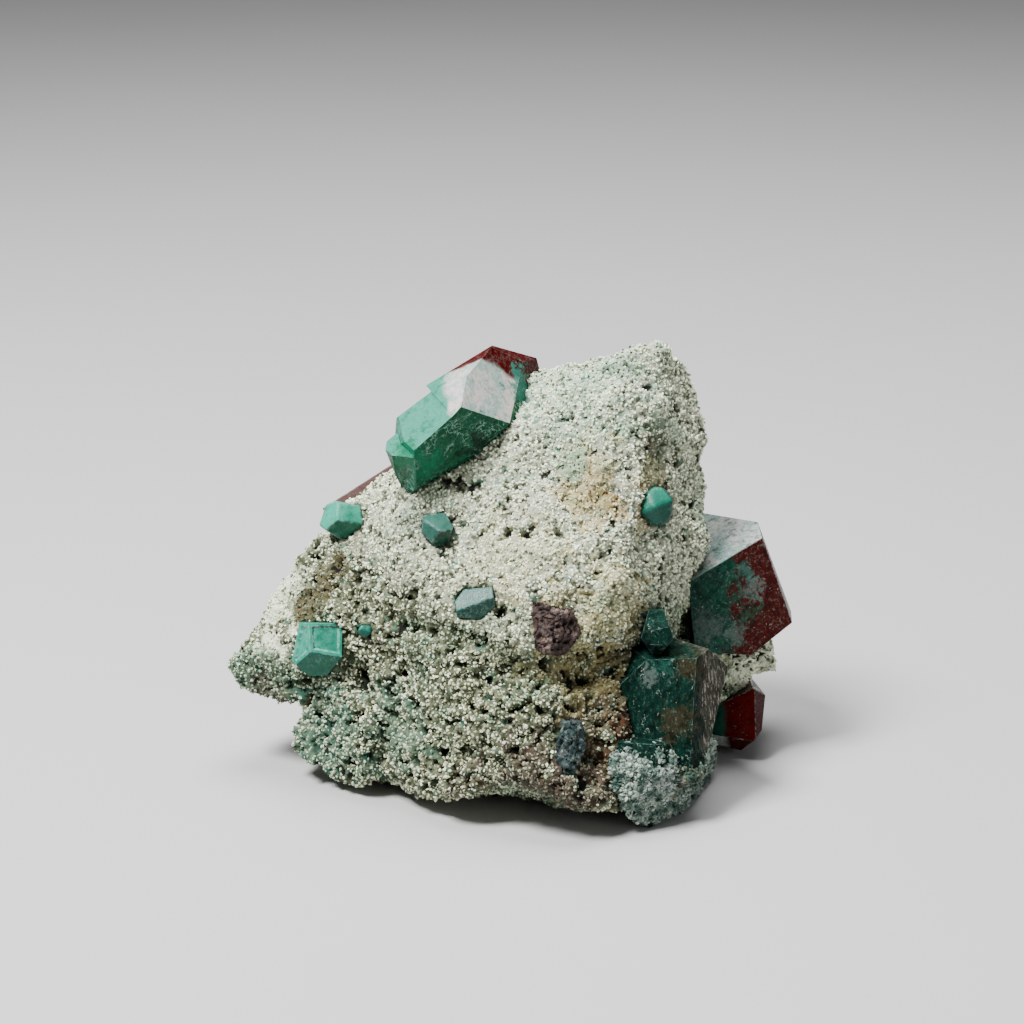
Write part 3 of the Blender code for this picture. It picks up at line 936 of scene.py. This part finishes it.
@dataclass
class Crystal:
    """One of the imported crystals, with growth steps and worn edges, or rounded all over."""

    finish: CrystalFinish
    wear: float = 0.11
    turns: int = 2
    bend: float = 14.0
    melt: int = 0
    melt_cell: float = 0.22
    shortest: float = 0.3
    step: tuple[float, float] = (0.0, 0.0)
    slope: float = 0.35
    stepped_faces: float = 0.8
    stepped_area: float = 3.0
    stepped_front: float = 0.3
    # the direction of the sky; the finishes paint light and lay their frosted colour by how much faces look
    # towards it
    sky: Place = (-0.35, -0.35, 0.87)

    @property
    def node(self) -> str:
        """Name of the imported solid."""
        return f"{self.finish.name}_crystal"

    def looks_up(self, face: BMFace) -> float:
        """How much a face looks up to the sky, from 0 to 1."""
        return 0.5 + 0.5 * face.normal.dot(Vector(self.sky).normalized())

    def faceted(self) -> BMesh:
        """Cuts the growth steps.

        Returns:
            The crystal with its flat faces whole and its steps cut.
        """
        bm = merged_copy(self.node)
        bmesh.ops.dissolve_limit(
            bm, angle_limit=math.radians(1.0), verts=bm.verts, edges=bm.edges, use_dissolve_boundaries=False,
        )
        short = [edge for edge in bm.edges if edge.calc_length() < self.shortest * MM]
        bmesh.ops.collapse(bm, edges=short, uvs=False)
        bm.normal_update()
        if self.step[0]:
            width, depth = self.step
            edge_layer = bm.faces.layers.float.new(Zone.EDGE.value)
            large = [
                face for face in bm.faces
                if self.looks_up(face) > self.stepped_faces and face.normal.y < -self.stepped_front
                and face.calc_area() > self.stepped_area * MM * MM
            ]
            for face in large:
                bmesh.ops.inset_individual(bm, faces=[face], thickness=width * MM, depth=0.0)
                strips = bmesh.ops.inset_individual(
                    bm, faces=[face], thickness=self.slope * MM, depth=depth * MM,
                )
                for strip in strips["faces"]:
                    strip[edge_layer] = 1.0
            bm.normal_update()
        return bm

    def worn(self) -> BMesh:
        """Wears the sharp edges.

        Returns:
            The faceted crystal with those edges bevelled and marked.
        """
        bm = self.faceted()
        name = Zone.EDGE.value
        edge_layer = bm.faces.layers.float.get(name) or bm.faces.layers.float.new(name)
        sharp = [edge for edge in bm.edges if edge.calc_face_angle(0.0) > math.radians(self.bend)]
        rubbed = bmesh.ops.bevel(
            bm, geom=sharp, offset=self.wear * MM, affect="EDGES", segments=self.turns, profile=0.5,
            material=-1, clamp_overlap=True,
        )
        for face in rubbed["faces"]:
            face[edge_layer] = 1.0
        return bm

    def melted(self) -> BMesh:
        """Rounds the crystal all over.

        Returns:
            The rounded crystal.
        """
        bm = opened(remeshed(self.faceted(), self.melt_cell))
        for _ in range(self.melt):
            bmesh.ops.smooth_vert(
                bm, verts=bm.verts, factor=0.5, use_axis_x=True, use_axis_y=True, use_axis_z=True,
            )
        for face in bm.faces:
            face.smooth = True
        return bm

    def build(self) -> Object:
        """Makes the crystal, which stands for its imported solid.

        Returns:
            The crystal.
        """
        bm = self.melted() if self.melt else self.worn()
        bm.normal_update()
        sky_layer = bm.faces.layers.float.new(Zone.SKY.value)
        for face in bm.faces:
            face[sky_layer] = self.looks_up(face)
        mesh = bpy.data.meshes.new(self.node + "_worn")
        keep(bm, mesh)
        piece = new_piece(self.node + "_worn", mesh, self.node, self.finish.make())
        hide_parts(self.node)
        return piece


@dataclass(frozen=True)
class Break:
    """The lumps, crumbs and creases of a broken surface."""

    swell: float
    rough: float
    lump_size: float
    crumb_size: float
    crease_size: float
    crease_depth: float
    crease_width: float
    shift: Place = (0.0, 0.0, 0.0)

    def height(self, where: Vector) -> float:
        """How far the surface stands out at a place.

        Args:
            where: place in millimetres.

        Returns:
            The height in millimetres.
        """
        lumps = noise.noise(where / self.lump_size) + 0.8 * noise.noise(where / self.crumb_size)
        crease = abs(noise.noise(where / self.crease_size + Vector(self.shift)))
        return self.swell + self.rough * lumps - self.crease_depth * fade(crease, self.crease_width, 0.0)


@dataclass(frozen=True)
class FragmentFinish:
    """A dull, pitted fragment of another mineral."""

    name: str
    base: Colour
    dark: Colour
    pale: Colour

    def make(self) -> Material:
        """Builds the material.

        Returns:
            The material.
        """
        material, graph, surface = new_material(self.name)
        where = graph.place()
        fine = graph.noise(where, 0.6, 5.0, 0.7)
        broad = graph.noise(where, 2.0, 6.0, 0.75)
        body = graph.mix(self.base, self.pale, broad.ramp(0.5, 0.62) * 0.8)
        body = graph.mix(body, self.dark, fine.ramp(0.48, 0.4) * 0.9)
        link(graph, surface, {
            "Base Color": body, "Roughness": 0.45 + fine * 0.5, "Specular IOR Level": 0.4,
            "Normal": graph.bump(fine, 0.15),
        })
        return material


@dataclass
class Fragment:
    """A packed fragment with a broken, pitted surface."""

    node: str
    finish: FragmentFinish
    cell: float = 0.16
    broken: Break = Break(0.1, 0.42, 1.4, 0.5, 0.9, 0.35, 0.12)
    pit_size: float = 1.1
    pit_depth: float = 0.45

    def build(self) -> Object:
        """Makes the fragment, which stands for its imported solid.

        Returns:
            The fragment.
        """
        mesh = remeshed(merged_copy(self.node), self.cell)
        bm = opened(mesh)
        for vert in bm.verts:
            where = vert.co / MM
            pit = noise.voronoi(where / self.pit_size)[0][0]
            height = self.broken.height(where) - self.pit_depth * (1 - fade(pit, 0.1, 0.36))
            vert.co += vert.normal * height * MM
        keep(bm, mesh)
        piece = new_piece(self.node + "_rough", mesh, self.node, self.finish.make())
        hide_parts(self.node)
        return piece


@dataclass
class Foot:
    """The pale, broken foot of the flank crystal: a rough crust over its lower end."""

    top: Place = (18.7, -19.0, 13.4)
    lean: Place = (0.2, 0.2, 1.0)
    slant: float = 0.3
    cell: float = 0.2
    broken: Break = Break(0.3, 0.3, 1.5, 0.6, 1.1, 0.4, 0.14, (2.0, 7.0, 4.0))
    rim: tuple[float, float] = (5.5, 2.5)
    dull: Colour = (0.09, 0.15, 0.115)
    white: Colour = (0.72, 0.8, 0.7)
    green: Colour = (0.004, 0.05, 0.035)
    patches: tuple[StainAndShade, ...] = (
        StainAndShade((22.9, -19.3, 6.2), 2.6, Pigment.KHAKI, 0.85),
        StainAndShade((20.0, -19.9, 6.1), 1.7, Pigment.PEARL, 0.7),
        StainAndShade((23.5, -17.5, 10.0), 2.2, Pigment.BROWN, 0.7),
        StainAndShade((17.6, -19.6, 8.0), 1.5, Pigment.EMERALD, 0.8),
        StainAndShade((15.5, -20.0, 11.2), 1.8, Pigment.PEARL, 0.6),
    )

    def finish(self) -> Material:
        """Builds the crust's mottled white, green and brown material, with near-black spots of painted shade
        for its pores.

        Returns:
            The material.
        """
        material, graph, surface = new_material("foot_crust")
        where = graph.place()
        cloud = graph.noise(where, 1.6, 4.0, 0.6)
        fine = graph.noise(where, 0.4, 5.0, 0.75)
        tone = graph.attribute(Zone.TONE)
        paleness = (tone * 0.5 + (fine - 0.5) * 1.8 + 0.12).clamped()
        body = graph.mix(self.dull, self.white, paleness)
        for patch in self.patches:
            body = patch.over(graph, where, body, cloud + (fine - 0.5) * 0.5)
        body = graph.mix(body, self.green, (cloud + (fine - 0.5) * 0.5).ramp(0.48, 0.55) * 0.8)
        # painted shade: near-black noise spots that stand for shaded pores in the crust
        body = graph.mix(body, Pigment.PORE_SHADE.value, graph.noise(where, 1.0, 5.0, 0.7).ramp(0.4, 0.32) * 0.9)
        link(graph, surface, {
            "Base Color": body, "Roughness": 0.4 + fine * 0.4, "Specular IOR Level": 0.35,
            "Normal": graph.bump(fine, 0.2),
        })
        return material

    def build(self) -> list[Object]:
        """Makes the crust and the splinters on it.

        Returns:
            The crust, then the splinters.
        """
        bm = merged_copy("flank_crystal")
        everything = bm.verts[:] + bm.edges[:] + bm.faces[:]
        cut = bmesh.ops.bisect_plane(
            bm, geom=everything, plane_co=Vector(self.top) * MM, plane_no=Vector(self.lean), clear_outer=True,
        )
        rim = [item for item in cut["geom_cut"] if isinstance(item, BMEdge)]
        bmesh.ops.holes_fill(bm, edges=rim)
        mesh = remeshed(bm, self.cell)
        bm = opened(mesh)
        crowd_layer = bm.verts.layers.float.new(Zone.CROWD.value)
        for vert in bm.verts:
            where = vert.co / MM
            height = self.broken.height(where) * fade(where.z, 0.0, 0.8)
            ragged = where.z + 2.0 * noise.noise(where / 2.2) + 1.6 * noise.noise(where / 0.9)
            ragged += self.slant * (where.x - self.top[0])
            sunk = fade(ragged, self.top[2] - self.rim[0], self.top[2] - self.rim[1])
            vert.co += vert.normal * (height - sunk) * MM
            vert.co.z = max(vert.co.z, 0.0)
            vert[crowd_layer] = (1.0 - sunk) * fade(where.z, *GRAINS_START)
        keep(bm, mesh, smooth=True)
        finish = self.finish()
        crust = new_piece("foot_crust", mesh, "flank_crystal", finish)
        splinters = Grains(
            mesh, finish, name="foot_splinters", slot="flank_crystal", bands=(0.0, 60.0), spacing=0.27,
            radius=0.17, spread=(0.2, 2.3), lift=(-0.1, 0.14), seed=90,
        )
        return [crust, *splinters.build()]


class Crystals:
    """All the crystals and fragments of the specimen."""

    def parts(self) -> list[Crystal]:
        """Lists the crystals.

        Returns:
            Each crystal with its own zones of colour.
        """
        return [
            Crystal(CrystalFinish(
                "crown", deep=(0.0, 0.06, 0.026), light=(0.04, 0.22, 0.155), frost_and_sheen=(0.52, 0.45, 0.44),
                haze=(0.26, 0.37, 0.33), gloss=0.07, crust=0.2, crumb=(0.30, 0.33, 0.31), relief=0.12,
                frost_from=(-5.0, -2.5, 46.0), frost_along=(0.9, 0.0, 0.35),
                cap_from=(-5.8, 2.3, 50.95), cap_along=(-0.1, 0.85, 0.5), wobble=1.2, softness=0.5,
                veins=0.9, roughness=0.14, patches=(
                    StainAndShade((-10.4, -5.6, 42.6), 2.6, Pigment.JADE, 0.85),
                    StainAndShade((2.6, 4.6, 48.5), 2.6, Pigment.TEAL, 0.8),
                    # painted shade: a near-black patch on the crown's underside, which faces down and forward
                    StainAndShade((-1.7, -2.3, 43.2), 2.5, Pigment.UNDERSIDE_SHADE, 0.8),
                ),
            )),
            Crystal(CrystalFinish(
                "corner", deep=(0.0015, 0.034, 0.021), light=(0.012, 0.075, 0.052), frost_and_sheen=(0.36, 0.37, 0.35),
                frost_from=(30.0, 5.0, 20.0), frost_along=(0.0, 0.0, 1.0), frost_and_sheen_faces=(0.8, 0.92),
                mottle=0.7, haze=(0.16, 0.25, 0.23), veins=0.15,
                cap_from=(29.2, 4.0, 22.0), cap_along=(1.0, 0.0, 0.1), cap_first=True,
                cap=(0.04, 0.0015, 0.001), crumb=(0.17, 0.2, 0.17), wobble=4.0, gloss=0.07, speckle=0.4,
                crust=0.55, relief=0.16, patches=(
                    StainAndShade((31.7, 2.0, 22.7), 1.6, Pigment.GREY, 0.6),
                    StainAndShade((31.0, 1.6, 25.2), 1.3, Pigment.TEAL, 0.5),
                    StainAndShade((31.4, 2.0, 19.6), 1.8, Pigment.EMERALD, 0.7),
                    StainAndShade((26.0, -1.0, 19.0), 2.2, Pigment.GREY, 0.45),
                    StainAndShade((28.2, 0.5, 22.5), 2.2, Pigment.EMERALD, 0.8),
                    StainAndShade((29.5, 0.5, 17.4), 1.4, Pigment.GREY, 0.5),
                ),
            )),
            Crystal(CrystalFinish(
                "flank", deep=(0.0004, 0.009, 0.0055), light=(0.001, 0.017, 0.011), mottle=0.8, veins=0.15,
                frost_and_sheen=(0.06, 0.055, 0.04), haze=(0.03, 0.028, 0.018), frost_from=(23.6, -13.0, 15.0),
                frost_along=(1.0, 0.45, 0.0), frost_and_sheen_faces=(0.3, 0.5), grain_along=(1.0, 1.0, 0.7),
                roughness=0.35, gloss=0.04, speckle=0.5, crust=0.6, crumb=(0.06, 0.14, 0.11), relief=0.2,
                streak=0.8, patches=(
                    StainAndShade((22.6, -14.6, 18.2), 2.2, Pigment.UMBER, 0.85),
                    StainAndShade((18.0, -15.0, 17.6), 1.3, Pigment.GREY, 0.6),
                    StainAndShade((20.0, -15.2, 18.8), 1.6, Pigment.TEAL, 0.2),
                    StainAndShade((21.5, -16.5, 12.4), 2.4, Pigment.UMBER, 0.75),
                ),
            )),
            Crystal(CrystalFinish(
                "red", veins=0.05, cap_from=(28.6, 2.0, 5.0), cap_along=(1.0, 0.0, 0.1),
                cap=(0.036, 0.0003, 0.0002), gloss=0.03, crust=0.3, crumb=(0.10, 0.03, 0.025),
                # the red crystal's frosted colour lies on faces that look down to the floor: partly a pale
                # frosted skin, partly a painted reflection of the floor
                deep=(0.001, 0.02, 0.013), light=(0.006, 0.06, 0.04), frost_and_sheen=(0.34, 0.36, 0.34),
                haze=(0.24, 0.27, 0.25), frost_from=(31.2, 1.0, 2.8), frost_along=(-0.55, 0.0, -1.0),
                frost_and_sheen_faces=(0.6, 0.5), wobble=1.2, softness=0.5,
            )),
            Crystal(CrystalFinish(
                "horn", deep=(0.001, 0.085, 0.05), light=(0.03, 0.27, 0.185), crust=0.2, lit=(0.66, 1.0),
                rubbed=0.9,
            ), step=(0.5, -0.2), wear=0.06),
            Crystal(CrystalFinish(
                "ledge", deep=(0.001, 0.075, 0.044), light=(0.035, 0.30, 0.205), crust=0.2, lit=(0.66, 1.0),
            ), wear=0.2),
            Crystal(CrystalFinish("slope", (0.002, 0.035, 0.024), (0.03, 0.12, 0.09)), wear=0.2),
            Crystal(CrystalFinish("round", (0.002, 0.05, 0.032), (0.012, 0.14, 0.095)), melt=9),
            Crystal(CrystalFinish("bead", (0.001, 0.05, 0.034), (0.006, 0.1, 0.07)), melt=3),
            Crystal(CrystalFinish(
                "shard", deep=(0.001, 0.034, 0.024), light=(0.010, 0.09, 0.068), crust=0.35, lit=(0.68, 1.0),
            ), wear=0.15),
            Crystal(CrystalFinish(
                "back", deep=(0.035, 0.01, 0.008), light=(0.075, 0.035, 0.03), roughness=0.4, veins=0.1,
            )),
        ]

    def build(self) -> list[Object]:
        """Makes the crystals, the fragments and the foot.

        Returns:
            All the pieces.
        """
        pieces = [crystal.build() for crystal in self.parts()]
        plum = FragmentFinish("plum", (0.036, 0.018, 0.014), (0.003, 0.002, 0.002), (0.17, 0.12, 0.10))
        slate = FragmentFinish("slate", (0.015, 0.036, 0.036), (0.003, 0.004, 0.004), (0.27, 0.31, 0.26))
        pieces.append(Fragment("plum_fragment", plum).build())
        pieces.append(Fragment("slate_chip", slate).build())
        return pieces + Foot().build()


@dataclass(frozen=True)
class Lamp:
    """A soft square lamp that faces the specimen, in metres and watts."""

    name: str
    place: Place
    size: float
    power: float
    aim: Place = (0.0, 0.0, 0.025)

    def build(self) -> None:
        """Hangs the lamp."""
        data = bpy.data.lights.new(self.name, "AREA")
        data.size = self.size
        data.energy = self.power
        lamp = new_object(self.name, data)
        lamp.location = self.place
        lamp.rotation_euler = (Vector(self.aim) - Vector(self.place)).to_track_quat("-Z", "Y").to_euler()


@dataclass
class Studio:
    """Floor, lights and camera, in metres."""

    camera_place: Place = (0.0015, -0.335723, 0.142783)
    camera_drop: float = 18.0
    lens: float = 100.0
    sensor: float = 36.0
    sight: tuple[float, float] = (0.01, 10.0)
    floor_size: float = 4.0
    floor_tones: tuple[Colour, Colour] = ((0.42, 0.42, 0.415), (0.45, 0.45, 0.445))
    sky: Colour = (0.9, 0.93, 1.0)
    sky_strength: float = 0.12
    lamps: tuple[Lamp, ...] = (
        Lamp("key", (-0.22, -0.14, 0.48), 0.16, 8.2),
        Lamp("top", (0.03, 0.14, 0.52), 0.30, 4.0),
        Lamp("fill", (0.40, -0.40, 0.20), 0.35, 0.6),
    )

    def floor(self) -> None:
        """Lays the plain pale floor."""
        bm = bmesh.new()
        bmesh.ops.create_grid(bm, x_segments=1, y_segments=1, size=self.floor_size / 2)
        mesh = bpy.data.meshes.new("floor")
        keep(bm, mesh)
        material, graph, surface = new_material("floor")
        haze = graph.noise(graph.place(), 90.0)
        link(graph, surface, {"Base Color": graph.mix(*self.floor_tones, haze), "Roughness": 0.7})
        mesh.materials.append(material)
        floor = new_object("floor", mesh)

    def build(self) -> None:
        """Sets up the floor, the lights, the pale surroundings and the camera."""
        self.floor()
        for lamp in self.lamps:
            lamp.build()
        world = bpy.data.worlds.new("surroundings")
        bpy.context.scene.world = world
        world.use_nodes = True
        background = world.node_tree.nodes["Background"]
        background.inputs["Color"].default_value = (*self.sky, 1.0)
        background.inputs["Strength"].default_value = self.sky_strength
        data = bpy.data.cameras.new("camera")
        data.lens = self.lens
        data.sensor_width = self.sensor
        data.clip_start, data.clip_end = self.sight
        camera = new_object("camera", data)
        camera.location = self.camera_place
        camera.rotation_euler = Euler((math.radians(90.0 - self.camera_drop), 0.0, 0.0))
        bpy.context.scene.camera = camera


def report(pieces: list[Object]) -> None:
    """Logs each piece with its count of faces."""
    for piece in pieces:
        LOG.info("%s: %d faces", piece.name, len(piece.data.polygons))


def main() -> None:
    """Builds the specimen and its studio."""
    logging.basicConfig(level=logging.INFO, format="%(message)s")
    rock = RockSkin().build()
    report([rock])
    report(Grains(rock.data, GrainFinish().make()).build())
    report(Crystals().build())
    Studio().build()


if __name__ == "__main__":
    main()
